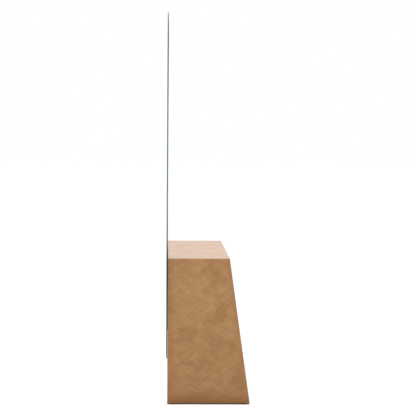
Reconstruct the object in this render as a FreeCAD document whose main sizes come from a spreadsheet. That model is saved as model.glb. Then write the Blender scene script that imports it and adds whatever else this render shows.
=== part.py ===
import FreeCAD, Part
import os
import Sketcher

# A dressing table clad in hand-brushed brass, with a large round frameless mirror screwed flat to its back.
# Frame: +Z up, +X to the right of someone who sits at the table, +Y towards the mirror. The origin is on the
# floor, under the middle of the whole object. All sizes are millimetres.

doc = FreeCAD.newDocument("vanity_table")
sheet = doc.addObject("Spreadsheet::Sheet", "Sizes")

DRIVING_SIZES = {
    # the table as a whole
    "table_width": 1200,
    "table_height": 740,
    "base_depth": 418,
    "top_depth": 312,
    "band": 40,
    "brass": 1.5,
    "fold_radius": 2,
    "seam": 0.2,
    # feet
    "glide_height": 4,
    "glide_radius": 14,
    "glide_inset": 26,
    "glide_screw_length": 20,
    # mirror
    "mirror_diameter": 1870,
    "mirror_bottom": 151,
    "glass": 6,
    "arris": 0.8,
    "film": 0.4,
    "film_margin": 2,
    "cushion": 1,
    "cushion_width": 24,
    "cushion_margin": 12,
    # mirror fixings
    "fixing_margin": 90,
    "fixing_below_band": 50,
    "rail_fixing_x": 280,
    "screw_radius": 3,
    "head_radius": 6.5,
    "screw_length": 24,
    "bush_wall": 3,
    "bush_rim": 3.4,
    "insert_radius": 5,
    "insert_length": 16,
    "insert_clear": 2,
    "fit": 0.1,
    "loose_fit": 0.5,
    # drawer bay
    "reveal": 3,
    "front_height": 92,
    "front_top_thickness": 17.5,
    "lip": 5.5,
    "floor_board": 8,
    "back_rail": 20,
    "divider": 20,
    "divider_setback": 2,
    "finger_slot": 25,
    # drawer boxes
    "box_clear_below": 5,
    "box_clear_above": 11,
    "box_clear_back": 16,
    "box_wall": 12,
    "box_bottom": 5,
    "groove_height": 6,
    "groove_depth": 5,
    "lining": 2,
    "lining_gap": 0.5,
    "front_screw_inset": 60,
    "front_screw_above_lining": 3,
    "front_screw_below_rim": 14,
    "front_screw_length": 25,
    # telescopic ball-bearing runners
    "runner_space": 12.7,
    "runner_half_height": 17.5,
    "runner_setback": 2,
    "runner_short_of_box": 15,
    "runner_sheet": 1.2,
    "runner_play": 0.1,
    "outer_lip": 9.5,
    "middle_gap": 1,
    "middle_lip": 11.2,
    "inner_lip": 8.1,
    "ball_radius": 1.5,
    "ball_pitch": 20,
    "cage_sheet": 0.6,
    "cage_width": 4,
    "runner_screw_inset": 30,
    "divider_stagger": 9,
    # dowels and floor screws
    "dowel_radius": 4,
    "dowel_depth": 12,
    "dowel_inset": 40,
    "rail_dowel_inset": 12,
    "divider_dowel_inset": 50,
    "floor_screw_length": 25,
    "floor_screw_inset": 60,
    # small screws and brackets
    "small_screw_radius": 1.75,
    "small_screw_length": 10,
    "flat_head_radius": 3.4,
    "flat_head_height": 0.7,
    "bracket_leg": 16,
    "bracket_below_runner": 3.5,
    "bracket_sheet": 2,
    "bracket_width": 40,
    "bracket_setback": 30,
    "bracket_screw_length": 8,
    "bracket_screw_from_leg_end": 7,
    "pan_head_radius": 3.2,
    "pan_head_height": 1.5,
}
BALLS_IN_A_ROW = 6
DOWELS_AT_AN_END = 4
OVERRUN = 1  # how far a drill reaches past the face that it enters or leaves

for row, (alias, value) in enumerate(DRIVING_SIZES.items(), start=1):
    sheet.set(f"A{row}", alias.replace("_", " "))
    sheet.set(f"B{row}", str(value))
    sheet.setAlias(f"B{row}", alias)
doc.recompute()


class Size:
    """A length as FreeCAD expression text, so that a sum of sizes is an expression that stays parametric."""

    def __init__(self, text):
        self.text = str(text)

    def __str__(self):
        return self.text

    def __add__(self, other):
        return Size(f"({self} + {other})")

    def __radd__(self, other):
        return Size(f"({other} + {self})")

    def __sub__(self, other):
        return Size(f"({self} - {other})")

    def __rsub__(self, other):
        return Size(f"({other} - {self})")

    def __mul__(self, other):
        return Size(f"({self} * {other})")

    def __rmul__(self, other):
        return Size(f"({other} * {self})")

    def __truediv__(self, other):
        return Size(f"({self} / {other})")

    def __neg__(self):
        return Size(f"(0 - {self})")

    def root(self):
        return Size(f"sqrt({self})")

    def number(self):
        return float(sheet.evalExpression(self.text))


class Cells:
    """Each driving size by its alias, as a Size."""

    def __getattr__(self, alias):
        return Size(f"Sizes.{alias}")


cell = Cells()
ZERO = Size(0)
TOWARDS_BACK = (0, 1, 0)
TOWARDS_FRONT = (0, -1, 0)
UP = (0, 0, 1)
DOWN = (0, 0, -1)
nodes = []

# ---------------------------------------------------------------- shared helpers


def node(made):
    """Marks an object as a sub-part that is written to its own file."""
    nodes.append(made)
    return made


def place(made, point, direction=(0, 0, 1)):
    """Turns an object's own +Z to direction and ties its place to three sizes."""
    turn = FreeCAD.Rotation(FreeCAD.Vector(0, 0, 1), FreeCAD.Vector(*direction))
    made.Placement = FreeCAD.Placement(FreeCAD.Vector(0, 0, 0), turn)
    for axis, size in zip("xyz", point):
        made.setExpression(f"Placement.Base.{axis}", str(size))
    return made


def block(label, low, high):
    """A box between two opposite corners, each three sizes."""
    made = doc.addObject("Part::Box", label)
    made.Label = label
    for side, near, far in zip(("Length", "Width", "Height"), low, high):
        made.setExpression(side, str(far - near))
    return place(made, low)


def rod(label, start, direction, radius, length):
    """A cylinder from start along direction."""
    made = doc.addObject("Part::Cylinder", label)
    made.setExpression("Radius", str(radius))
    made.setExpression("Height", str(length))
    return place(made, start, direction)


def cone(label, start, direction, first_radius, last_radius, length):
    """A cone whose radius goes from first_radius at start to last_radius."""
    made = doc.addObject("Part::Cone", label)
    made.setExpression("Radius1", str(first_radius))
    made.setExpression("Radius2", str(last_radius))
    made.setExpression("Height", str(length))
    return place(made, start, direction)


def group(label, members):
    """Separate solids that share one node."""
    made = doc.addObject("Part::Compound", label)
    made.Label = label
    made.Links = members
    return made


def fuse(label, members):
    made = doc.addObject("Part::MultiFuse", label)
    made.Label = label
    made.Shapes = members
    return made


def drilled(label, blank, tools):
    """The blank with every tool's shape cut out of it."""
    made = doc.addObject("Part::Cut", label)
    made.Label = label
    made.Base = blank
    made.Tool = tools[0] if len(tools) == 1 else group(label + "_tools", tools)
    return made


def stepped_back(point, direction, distance):
    """The point that lies a distance before point, along direction."""
    return tuple(size - distance * step for size, step in zip(point, direction))


def hole(label, point, direction, radius, depth):
    """A drill that enters the face at point and goes depth into it."""
    return rod(label, stepped_back(point, direction, OVERRUN), direction, radius, depth + OVERRUN)


def pan_screw(label, seat, direction, shank_radius, length, head_radius, head_height):
    """A screw whose head stands on seat and whose shank goes along direction."""
    head_start = stepped_back(seat, direction, head_height)
    head = rod(label + "_head", head_start, direction, head_radius, head_height)
    shank = rod(label + "_shank", seat, direction, shank_radius, length)
    return fuse(label, [head, shank])


def sunk_rod(label, seat, direction, radius, head_radius, length):
    """A rod with a 45 degree countersunk head whose flat lies at seat."""
    head = cone(label + "_head", seat, direction, head_radius, radius, head_radius - radius)
    shank = rod(label + "_shank", seat, direction, radius, length)
    return fuse(label, [head, shank])


def sunk_hole(label, seat, direction, radius, head_radius, depth):
    """The drill for a sunk_rod's way in, cleared past the face at seat."""
    bore = hole(label + "_bore", seat, direction, radius, depth)
    sink = cone(label + "_sink", seat, direction, head_radius, radius, head_radius - radius)
    return fuse(label, [bore, sink])


def start_body(label):
    made = doc.addObject("PartDesign::Body", label)
    made.Label = label
    return made


def sketch_on(body, plane, offset):
    """An empty sketch on one of the body's own origin planes, offset along that plane's normal."""
    made = body.newObject("Sketcher::SketchObject", body.Label + "_sketch")
    support = next(feature for feature in body.Origin.OriginFeatures if feature.Role == plane)
    made.AttachmentSupport = (support, "")
    made.MapMode = "FlatFace"
    made.setExpression("AttachmentOffset.Base.z", str(offset))
    return made


def draw_outline(sketch, corners):
    """Straight lines round the corners, each corner tied to the sketch's origin by two sizes."""
    points = [FreeCAD.Vector(across.number(), up.number(), 0) for across, up in corners]
    last = len(points) - 1
    for i, point in enumerate(points):
        sketch.addGeometry(Part.LineSegment(point, points[0 if i == last else i + 1]), False)
    for i, (across, up) in enumerate(corners):
        sketch.addConstraint(Sketcher.Constraint("Coincident", i, 1, last if i == 0 else i - 1, 2))
        for kind, size in (("DistanceX", across), ("DistanceY", up)):
            number = sketch.addConstraint(Sketcher.Constraint(kind, -1, 1, i, 1, size.number()))
            sketch.setExpression(f"Constraints[{number}]", str(size))


def draw_circle(sketch, centre_height, radius):
    """A circle on the sketch's vertical axis."""
    centre = FreeCAD.Vector(0, centre_height.number(), 0)
    sketch.addGeometry(Part.Circle(centre, FreeCAD.Vector(0, 0, 1), radius.number()), False)
    sketch.addConstraint(Sketcher.Constraint("PointOnObject", 0, 3, -2))
    number = sketch.addConstraint(Sketcher.Constraint("DistanceY", -1, 1, 0, 3, centre_height.number()))
    sketch.setExpression(f"Constraints[{number}]", str(centre_height))
    number = sketch.addConstraint(Sketcher.Constraint("Radius", 0, radius.number()))
    sketch.setExpression(f"Constraints[{number}]", str(radius))


def pad(body, sketch, length):
    made = body.newObject("PartDesign::Pad", body.Label + "_pad")
    made.Profile = sketch
    made.setExpression("Length", str(length))
    doc.recompute()
    return made


def pocket(body, sketch, length):
    """Cuts from the sketch along its plane's normal, and stops the script if nothing was cut."""
    before = body.Shape.Volume
    made = body.newObject("PartDesign::Pocket", body.Label + "_pocket")
    made.Profile = sketch
    made.Reversed = True
    made.setExpression("Length", str(length))
    doc.recompute()
    if made.Shape.Volume >= before:
        raise RuntimeError(f"{body.Label}: the pocket cut nothing")
    return made


def round_edges(body, radius, wanted):
    """Fillets the body's edges whose middle point passes the test."""
    base = body.Tip
    names = [
        f"Edge{i}"
        for i, edge in enumerate(base.Shape.Edges, start=1)
        if wanted(edge.valueAt((edge.FirstParameter + edge.LastParameter) / 2), edge)
    ]
    made = body.newObject("PartDesign::Fillet", body.Label + "_fold")
    made.Base = (base, names)
    made.setExpression("Radius", str(radius))
    doc.recompute()
    return made


def near(value, size):
    """True where a coordinate is at a size, to a hundredth."""
    return abs(value - size.number()) < 0.01


# ---------------------------------------------------------------- levels and faces that pieces share

half_width = cell.table_width / 2
inner_wall = half_width - cell.band
behind_base = cell.cushion + cell.glass + cell.film
back = (cell.base_depth + behind_base) / 2 - behind_base
glass_front = back + cell.cushion
glass_back = glass_front + cell.glass
band_bottom = cell.table_height - cell.band
lean = (cell.base_depth - cell.top_depth) / (cell.table_height - cell.glide_height)
lean_sheet = cell.brass * (1 + lean * lean).root()


def front_at(height):
    """Y of the sloping front plane at a height."""
    return back - cell.top_depth - (cell.table_height - height) * lean


front_top = band_bottom - cell.reveal
front_bottom = front_top - cell.front_height
underside = front_bottom + cell.lip
floor_low = underside + cell.brass
floor_top = floor_low + cell.floor_board
front_rear = front_at(front_top) + cell.front_top_thickness
floor_front = front_rear + cell.finger_slot
divider_front = front_rear + cell.divider_setback
rail_front = back - cell.back_rail

LEFT, RIGHT = -1, 1
SIDES = {"left": LEFT, "right": RIGHT}


def across(side):
    """The direction along X towards one side."""
    return (side, 0, 0)


def on_side(side, distance):
    """A distance from the middle plane, on one side of it."""
    return distance if side == RIGHT else -distance


def low_x(side, inner, outer):
    """The lower X of a piece that reaches from inner to outer, both counted from the middle plane."""
    return inner if side == RIGHT else -outer


# ---------------------------------------------------------------- places of the fixings

mirror_radius = cell.mirror_diameter / 2
mirror_middle = cell.mirror_bottom + mirror_radius
end_middle = half_width - cell.band / 2
glass_edge_at_end = mirror_middle - (mirror_radius * mirror_radius - half_width * half_width).root()
low_fixing = glass_edge_at_end + cell.fixing_margin
high_fixing = band_bottom - cell.fixing_below_band
rail_fixing = (floor_top + band_bottom) / 2

end_fixings = {
    name: [(on_side(side, end_middle), height) for height in (low_fixing, high_fixing)]
    for name, side in SIDES.items()
}
rail_fixings = [(on_side(side, cell.rail_fixing_x), rail_fixing) for side in (LEFT, RIGHT)]
fixings = end_fixings["left"] + end_fixings["right"] + rail_fixings

glide_places = {
    name: [
        (on_side(side, end_middle), back - cell.glide_inset),
        (on_side(side, end_middle), front_at(cell.glide_height) + cell.glide_inset),
    ]
    for name, side in SIDES.items()
}

box_low = floor_top + cell.box_clear_below
box_high = band_bottom - cell.box_clear_above
box_rear = rail_front - cell.box_clear_back
groove_low = box_low + cell.groove_height
lining_low = groove_low + cell.box_bottom + cell.fit
runner_middle = (box_low + box_high) / 2
upright_leg = runner_middle - cell.runner_half_height - floor_top - cell.bracket_below_runner
runner_front = front_rear + cell.runner_setback
runner_length = box_rear - front_rear - cell.runner_short_of_box
runner_rear = runner_front + runner_length
runner_screw_places = [runner_front + cell.runner_screw_inset, runner_rear - cell.runner_screw_inset]
staggered_places = [place + cell.divider_stagger for place in runner_screw_places]
rail_middle = back - cell.back_rail / 2
divider_dowel_seats = [
    ((ZERO, y, band_bottom), UP)
    for y in (divider_front + cell.divider_dowel_inset, rail_front - cell.divider_dowel_inset)
]
divider_floor_seats = [
    ((ZERO, y, floor_low), UP)
    for y in (floor_front + cell.floor_screw_inset, rail_front - cell.floor_screw_inset)
]
rail_floor_seats = [
    ((x, rail_middle, floor_low), UP)
    for x in (cell.floor_screw_inset - inner_wall, ZERO, inner_wall - cell.floor_screw_inset)
]
bracket_fronts = [front_rear + cell.bracket_setback, rail_front - cell.bracket_setback - cell.bracket_width]


# ---------------------------------------------------------------- screw holes in the carcass


def bracket_screw_seats(name):
    """Where the screws of one end's four brackets enter the end panel and the boards: (point, direction)."""
    side = SIDES[name]
    wall = on_side(side, inner_wall)
    along_board = cell.bracket_leg - cell.bracket_screw_from_leg_end
    up_wall = (upright_leg + cell.bracket_sheet) / 2 + cell.fit
    seats = []
    for bracket_front in bracket_fronts:
        y = bracket_front + cell.bracket_width / 2
        for corner, up in ((band_bottom, -1), (floor_top, 1)):
            seats.append(((wall, y, corner + up * up_wall), across(side)))
            seats.append(((on_side(side, inner_wall - along_board), y, corner), (0, 0, -up)))
    return seats


def top_dowel_seats(name):
    """Where the dowels cross from one end core into the top core."""
    first = front_at(band_bottom) + cell.dowel_inset
    pitch = (back - cell.dowel_inset - first) / (DOWELS_AT_AN_END - 1)
    x = on_side(SIDES[name], end_middle)
    return [((x, first + i * pitch, band_bottom), UP) for i in range(DOWELS_AT_AN_END)]


def rail_dowel_seats(name):
    """Where the dowels cross from the back rail into one end core."""
    x = on_side(SIDES[name], inner_wall)
    heights = (floor_top + cell.rail_dowel_inset, band_bottom - cell.rail_dowel_inset)
    return [((x, rail_middle, z), across(SIDES[name])) for z in heights]


def dowel_holes(label, seats):
    """Holes for dowels, long enough for both halves of each dowel."""
    radius, depth = cell.dowel_radius + cell.fit / 2, cell.dowel_depth + cell.fit
    return [
        rod(f"{label}_{i}", stepped_back(point, way, depth), way, radius, 2 * depth)
        for i, (point, way) in enumerate(seats)
    ]


def runner_walls(name):
    """The two faces that carry one drawer's runners: (x, direction towards the drawer, Y of the screws).

    The right drawer's screws in the divider are staggered, so that they pass the left drawer's.
    """
    side = SIDES[name]
    outer_face = (on_side(side, inner_wall), -side, runner_screw_places)
    divider_places = staggered_places if side == RIGHT else runner_screw_places
    divider_face = (on_side(side, cell.divider / 2), side, divider_places)
    return [outer_face, divider_face]


def screw_holes(label, seats, depth):
    """Drills for small screws at a list of (point, direction)."""
    radius = cell.small_screw_radius + cell.fit
    return [hole(f"{label}_{i}", point, way, radius, depth) for i, (point, way) in enumerate(seats)]


def runner_screw_seats(wall_x, turn, places):
    """Where the cabinet screws of one runner enter its wall."""
    return [((wall_x, y, runner_middle), across(-turn)) for y in places]


# ---------------------------------------------------------------- end panels


def panel_outline(sheet_in, bottom, top):
    """The trapezium between the sloping front and the back, drawn in by sheet_in sheets at both."""
    shift = lean_sheet * sheet_in
    rear = back - cell.brass * sheet_in
    return [
        (front_at(bottom) + shift, bottom),
        (rear, bottom),
        (rear, top),
        (front_at(top) + shift, top),
    ]


def mitre_cut(body, side, gap):
    """Cuts off the corner above the mitre, a 45 degree plane through the band's outer and inner edges."""
    sketch = sketch_on(body, "XZ_Plane", -(back + cell.band))
    beyond = cell.band
    outer = on_side(side, half_width)
    corners = [
        (outer - side * (cell.band + beyond), band_bottom - beyond - gap),
        (outer + side * beyond, cell.table_height + beyond - gap),
        (outer - side * (cell.band + beyond), cell.table_height + beyond - gap),
    ]
    draw_outline(sketch, corners)
    pocket(body, sketch, cell.base_depth + 2 * cell.band)


def end_skin(name):
    """The outer sheet of an end panel: a tray, its front, back and bottom edges folded in over the core."""
    side = SIDES[name]
    body = start_body(f"{name}_end_skin_tray")
    outer = sketch_on(body, "YZ_Plane", low_x(side, inner_wall, half_width))
    draw_outline(outer, panel_outline(0, cell.glide_height, cell.table_height))
    pad(body, outer, cell.band)
    hollow = sketch_on(body, "YZ_Plane", low_x(side, inner_wall - cell.band, half_width - cell.brass))
    above = cell.table_height + cell.band
    draw_outline(hollow, panel_outline(1, cell.glide_height + cell.brass, above))
    pocket(body, hollow, cell.band * 2 - cell.brass)
    mitre_cut(body, side, cell.seam / 2)
    face = on_side(side, half_width)
    foot = cell.glide_height

    def folded(middle, edge):
        """The outer face's three folded edges and the bottom fold's two ends."""
        on_face = near(middle.x, face) and middle.z < cell.table_height.number() - 1
        along_x = abs(edge.tangentAt(edge.FirstParameter).x) > 0.99
        outer_ends = near(middle.y, back) or near(middle.y, front_at(foot))
        return on_face or (along_x and near(middle.z, foot) and outer_ends)

    round_edges(body, cell.fold_radius, folded)
    through = cell.brass + OVERRUN
    drills = [
        hole(f"{name}_skin_fixing_{i}", (x, back, z), TOWARDS_FRONT, cell.screw_radius + cell.fit, through)
        for i, (x, z) in enumerate(end_fixings[name])
    ]
    drills += [
        hole(f"{name}_skin_foot_{i}", (x, y, foot), UP, cell.small_screw_radius + cell.fit, through)
        for i, (x, y) in enumerate(glide_places[name])
    ]
    return node(drilled(f"{name}_end_skin", body, drills))


def end_core(name):
    """The blockboard inside an end panel. The top's core rests on it."""
    side = SIDES[name]
    body = start_body(f"{name}_end_core_blank")
    outline = sketch_on(body, "YZ_Plane", low_x(side, inner_wall + cell.brass, half_width - cell.brass))
    bottom = cell.glide_height + cell.brass
    draw_outline(outline, panel_outline(1, bottom, band_bottom))
    pad(body, outline, cell.band - 2 * cell.brass)
    drills = [
        hole(f"{name}_core_fixing_{i}", (x, back - cell.brass, z), TOWARDS_FRONT,
             cell.insert_radius + cell.fit, cell.insert_length + cell.insert_clear)
        for i, (x, z) in enumerate(end_fixings[name])
    ]
    drills += [
        hole(f"{name}_core_foot_{i}", (x, y, bottom), UP, cell.small_screw_radius + cell.fit,
             cell.glide_screw_length)
        for i, (x, y) in enumerate(glide_places[name])
    ]
    drills += screw_holes(f"{name}_core_wall", wall_seats(name), cell.small_screw_length + OVERRUN)
    drills += dowel_holes(f"{name}_core_dowel", top_dowel_seats(name) + rail_dowel_seats(name))
    return node(drilled(f"{name}_end_core", body, drills))


def end_inner_skin(name):
    """The flat inner sheet of an end panel, let in between the folded edges of the outer one."""
    side = SIDES[name]
    body = start_body(f"{name}_end_inner_skin_blank")
    outline = sketch_on(body, "YZ_Plane", low_x(side, inner_wall, inner_wall + cell.brass))
    draw_outline(outline, panel_outline(1, cell.glide_height + cell.brass, band_bottom))
    pad(body, outline, cell.brass)
    drills = screw_holes(f"{name}_inner_wall", wall_seats(name), cell.brass + OVERRUN)
    drills += dowel_holes(f"{name}_inner_dowel", rail_dowel_seats(name))
    return node(drilled(f"{name}_end_inner_skin", body, drills))


def wall_seats(name):
    """Every small screw that enters one end panel's inner face."""
    sideways = [seat for seat in bracket_screw_seats(name) if seat[1][0]]
    return sideways + runner_screw_seats(*runner_walls(name)[0])


for end_name in SIDES:
    end_skin(end_name)
    end_core(end_name)
    end_inner_skin(end_name)

# ---------------------------------------------------------------- top


def top_skin():
    """The top sheet, folded down over the front and back edges of the core and mitred to the end panels."""
    body = start_body("top_skin")
    outer = sketch_on(body, "YZ_Plane", -half_width)
    draw_outline(outer, panel_outline(0, band_bottom, cell.table_height))
    pad(body, outer, cell.table_width)
    hollow = sketch_on(body, "YZ_Plane", -(half_width + cell.band))
    below = band_bottom - cell.band
    draw_outline(hollow, panel_outline(1, below, cell.table_height - cell.brass))
    pocket(body, hollow, cell.table_width + 2 * cell.band)
    for side in (LEFT, RIGHT):
        sketch = sketch_on(body, "XZ_Plane", -(back + cell.band))
        gap = cell.seam / 2
        outer_x = on_side(side, half_width)
        corners = [
            (outer_x + side * cell.band, cell.table_height + cell.band + gap),
            (outer_x - side * (cell.band * 2), band_bottom - cell.band + gap),
            (outer_x + side * cell.band, band_bottom - cell.band + gap),
        ]
        draw_outline(sketch, corners)
        pocket(body, sketch, cell.base_depth + 2 * cell.band)

    def folded(middle, edge):
        """The two long folds at the top's front and back."""
        at_top = near(middle.z, cell.table_height)
        return at_top and (near(middle.y, back) or near(middle.y, front_at(cell.table_height)))

    round_edges(body, cell.fold_radius, folded)
    return node(body)


def top_core():
    """The blockboard slab under the top sheet. It lies on both end cores."""
    body = start_body("top_core_blank")
    outline = sketch_on(body, "YZ_Plane", -(half_width - cell.brass))
    draw_outline(outline, panel_outline(1, band_bottom, cell.table_height - cell.brass))
    pad(body, outline, cell.table_width - 2 * cell.brass)
    screw_seats = [seat for name in SIDES for seat in bracket_screw_seats(name) if seat[1] == UP]
    dowel_seats = top_dowel_seats("left") + top_dowel_seats("right") + divider_dowel_seats
    drills = screw_holes("top_seat", screw_seats, cell.bracket_screw_length)
    drills += dowel_holes("top_dowel", dowel_seats)
    return node(drilled("top_core", body, drills))


top_skin()
top_core()

# ---------------------------------------------------------------- drawer bay



def back_rail():
    """The board behind the drawers, which also carries the middle of the mirror."""
    blank = block("back_rail_blank", (-inner_wall, rail_front, floor_top), (inner_wall, back, band_bottom))
    drills = [
        hole(f"rail_fixing_{i}", (x, back, z), TOWARDS_FRONT, cell.insert_radius + cell.fit,
             cell.insert_length + cell.insert_clear)
        for i, (x, z) in enumerate(rail_fixings)
    ]
    drills += dowel_holes("rail_dowel", rail_dowel_seats("left") + rail_dowel_seats("right"))
    drills += floor_screw_holes("rail_floor", rail_floor_seats)
    return node(drilled("back_rail", blank, drills))


def floor_screw_holes(label, seats):
    """The holes that the floor's screws make in the pieces above it."""
    radius = cell.small_screw_radius + cell.fit
    return [rod(f"{label}_{i}", seat, way, radius, cell.floor_screw_length + cell.fit)
            for i, (seat, way) in enumerate(seats)]


def bay_floor():
    """The thin board under the drawers."""
    blank = block("bay_floor_blank", (-inner_wall, floor_front, floor_low), (inner_wall, back, floor_top))
    bracket_seats = [seat for name in SIDES for seat in bracket_screw_seats(name) if seat[1] == DOWN]
    bracket_depth = cell.bracket_screw_length - cell.bracket_sheet + cell.fit
    drills = screw_holes("floor_seat", bracket_seats, bracket_depth)
    drills += [
        sunk_hole(f"floor_sink_{i}", seat, way, cell.small_screw_radius + cell.fit,
                  cell.flat_head_radius + cell.fit, cell.floor_board + OVERRUN)
        for i, (seat, way) in enumerate(divider_floor_seats + rail_floor_seats)
    ]
    return node(drilled("bay_floor", blank, drills))


def centre_divider():
    """The upright between the two drawers. Both drawers' runners are screwed to it."""
    half = cell.divider / 2
    blank = block("centre_divider_blank", (-half, divider_front, floor_top), (half, rail_front, band_bottom))
    seats = [seat for name in SIDES for seat in runner_screw_seats(*runner_walls(name)[1])]
    drills = screw_holes("divider_seat", seats, cell.small_screw_length - cell.runner_sheet + cell.fit)
    drills += dowel_holes("divider_dowel", divider_dowel_seats)
    drills += floor_screw_holes("divider_floor", divider_floor_seats)
    return node(drilled("centre_divider", blank, drills))


back_rail()
bay_floor()
centre_divider()
node(group("floor_screws", [
    sunk_rod(f"floor_screw_{i}", seat, way, cell.small_screw_radius, cell.flat_head_radius,
             cell.floor_screw_length)
    for i, (seat, way) in enumerate(divider_floor_seats + rail_floor_seats)
]))
dowel_seats = divider_dowel_seats + [
    seat for name in SIDES for seat in top_dowel_seats(name) + rail_dowel_seats(name)
]
node(group("dowels", [
    rod(f"dowel_{i}", stepped_back(point, way, cell.dowel_depth), way,
        cell.dowel_radius, 2 * cell.dowel_depth)
    for i, (point, way) in enumerate(dowel_seats)
]))


def underside_skin():
    """The brass sheet under the drawer bay, turned up over the floor board's front edge."""
    body = start_body("underside_skin")
    outline = sketch_on(body, "YZ_Plane", -inner_wall)
    lip_front = floor_front - cell.brass
    draw_outline(outline, [
        (lip_front, underside),
        (back, underside),
        (back, floor_low),
        (floor_front, floor_low),
        (floor_front, floor_top),
        (lip_front, floor_top),
    ])
    pad(body, outline, 2 * inner_wall)

    def folded(middle, edge):
        return near(middle.y, lip_front) and near(middle.z, underside)

    round_edges(body, cell.brass, folded)
    return node(body)


underside_skin()


def bracket(label, name, bracket_front, corner, up):
    """A steel angle in the corner between an end panel and a board. up is 1 above the board, -1 under it."""
    side = SIDES[name]
    turn = -side
    body = start_body(label)
    sketch = sketch_on(body, "XZ_Plane", -(bracket_front + cell.bracket_width))
    wall = on_side(side, inner_wall)
    leg, thick = cell.bracket_leg, cell.bracket_sheet
    steps = [
        (ZERO, ZERO), (leg, ZERO), (leg, thick),
        (thick, thick), (thick, upright_leg), (ZERO, upright_leg),
    ]
    draw_outline(sketch, [(wall + turn * across_x, corner + up * rise) for across_x, rise in steps])
    pad(body, sketch, cell.bracket_width)
    return body


def bracket_screws():
    """Two screws for each bracket, their heads on its legs."""
    made = []
    for name in SIDES:
        for i, (point, way) in enumerate(bracket_screw_seats(name)):
            seat = stepped_back(point, way, cell.bracket_sheet)
            made.append(pan_screw(f"{name}_bracket_screw_{i}", seat, way, cell.small_screw_radius,
                                  cell.bracket_screw_length, cell.pan_head_radius, cell.pan_head_height))
    return made


def brackets():
    """Four brackets at each end, drilled for their screws."""
    made = []
    for name in SIDES:
        blanks = [
            bracket(f"{name}_bracket_{i}_{'top' if up < 0 else 'floor'}", name, bracket_front, corner, up)
            for i, bracket_front in enumerate(bracket_fronts)
            for corner, up in ((band_bottom, -1), (floor_top, 1))
        ]
        drills = []
        for i, (point, way) in enumerate(bracket_screw_seats(name)):
            seat = stepped_back(point, way, cell.bracket_sheet)
            radius = cell.small_screw_radius + cell.fit
            drills.append(hole(f"{name}_bracket_drill_{i}", seat, way, radius, cell.bracket_sheet + OVERRUN))
        made.append(drilled(f"{name}_brackets", group(f"{name}_bracket_blanks", blanks), drills))
    return made


node(group("corner_brackets", brackets()))
node(group("bracket_screws", bracket_screws()))

# ---------------------------------------------------------------- feet


def glide(label, x, y):
    """A round nylon glide with a recess for its screw's head."""
    blank = rod(label + "_blank", (x, y, ZERO), UP, cell.glide_radius, cell.glide_height)
    recess = hole(label + "_recess", (x, y, ZERO), UP, cell.pan_head_radius + cell.loose_fit, glide_seat)
    bore = hole(label + "_bore", (x, y, ZERO), UP, cell.small_screw_radius + cell.fit,
                cell.glide_height + OVERRUN)
    return drilled(label, blank, [fuse(label + "_drill", [recess, bore])])


def glide_screw(label, x, y):
    """The screw's head sits at the top of the glide's recess."""
    return pan_screw(label, (x, y, glide_seat), UP, cell.small_screw_radius, cell.glide_screw_length,
                     cell.pan_head_radius, cell.pan_head_height)


glide_seat = cell.glide_height / 2
foot_places = glide_places["left"] + glide_places["right"]
node(group("glides", [glide(f"glide_{i}", x, y) for i, (x, y) in enumerate(foot_places)]))
node(group("glide_screws", [glide_screw(f"glide_screw_{i}", x, y) for i, (x, y) in enumerate(foot_places)]))

# ---------------------------------------------------------------- mirror

bush_radius = cell.screw_radius + cell.bush_wall
bush_head = cell.head_radius + cell.bush_rim


def mirror_glass():
    """A round sheet of float glass, silvered on its back face, with a ground and polished edge."""
    body = start_body("mirror_glass_blank")
    sketch = sketch_on(body, "XZ_Plane", -glass_back)
    draw_circle(sketch, mirror_middle, mirror_radius)
    disc = pad(body, sketch, cell.glass)
    rims = [f"Edge{i}" for i, edge in enumerate(disc.Shape.Edges, start=1) if edge.Closed]
    arris = body.newObject("PartDesign::Chamfer", "mirror_arris")
    arris.Base = (disc, rims)
    arris.setExpression("Size", "Sizes.arris")
    doc.recompute()
    drills = [
        sunk_hole(f"glass_drill_{i}", (x, glass_back, z), TOWARDS_FRONT, bush_radius + cell.fit,
                  bush_head + cell.fit, cell.glass + OVERRUN)
        for i, (x, z) in enumerate(fixings)
    ]
    return node(drilled("mirror_glass", body, drills))


def mirror_film():
    """The safety film on the silvering, cut a little smaller than the glass."""
    film_radius = mirror_radius - cell.film_margin
    blank = rod("mirror_film_blank", (ZERO, glass_back, mirror_middle), TOWARDS_BACK, film_radius, cell.film)
    drills = [
        rod(f"film_drill_{i}", (x, glass_front, z), TOWARDS_BACK, bush_head + cell.loose_fit, cell.glass * 2)
        for i, (x, z) in enumerate(fixings)
    ]
    return node(drilled("mirror_safety_film", blank, drills))


def mirror_cushions():
    """Rubber strips that keep the glass off the brass: one on each end panel and one along the back rail."""
    half = cell.cushion_width / 2
    low = glass_edge_at_end + cell.cushion_margin
    high = band_bottom - cell.cushion_margin
    strips = [
        block(f"cushion_{name}", (on_side(side, end_middle) - half, back, low),
              (on_side(side, end_middle) + half, glass_front, high))
        for name, side in SIDES.items()
    ]
    reach = inner_wall - cell.cushion_margin
    strips.append(block("cushion_rail", (-reach, back, rail_fixing - half),
                        (reach, glass_front, rail_fixing + half)))
    drills = [
        hole(f"cushion_drill_{i}", (x, back, z), TOWARDS_BACK, cell.screw_radius + cell.loose_fit,
             cell.cushion + OVERRUN)
        for i, (x, z) in enumerate(fixings)
    ]
    return node(drilled("mirror_cushions", group("mirror_cushion_blanks", strips), drills))


def mirror_screw(label, x, z):
    """A countersunk screw whose head is flush with the back of the glass."""
    seat = (x, glass_back, z)
    return sunk_rod(label, seat, TOWARDS_FRONT, cell.screw_radius, cell.head_radius, cell.screw_length)


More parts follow.
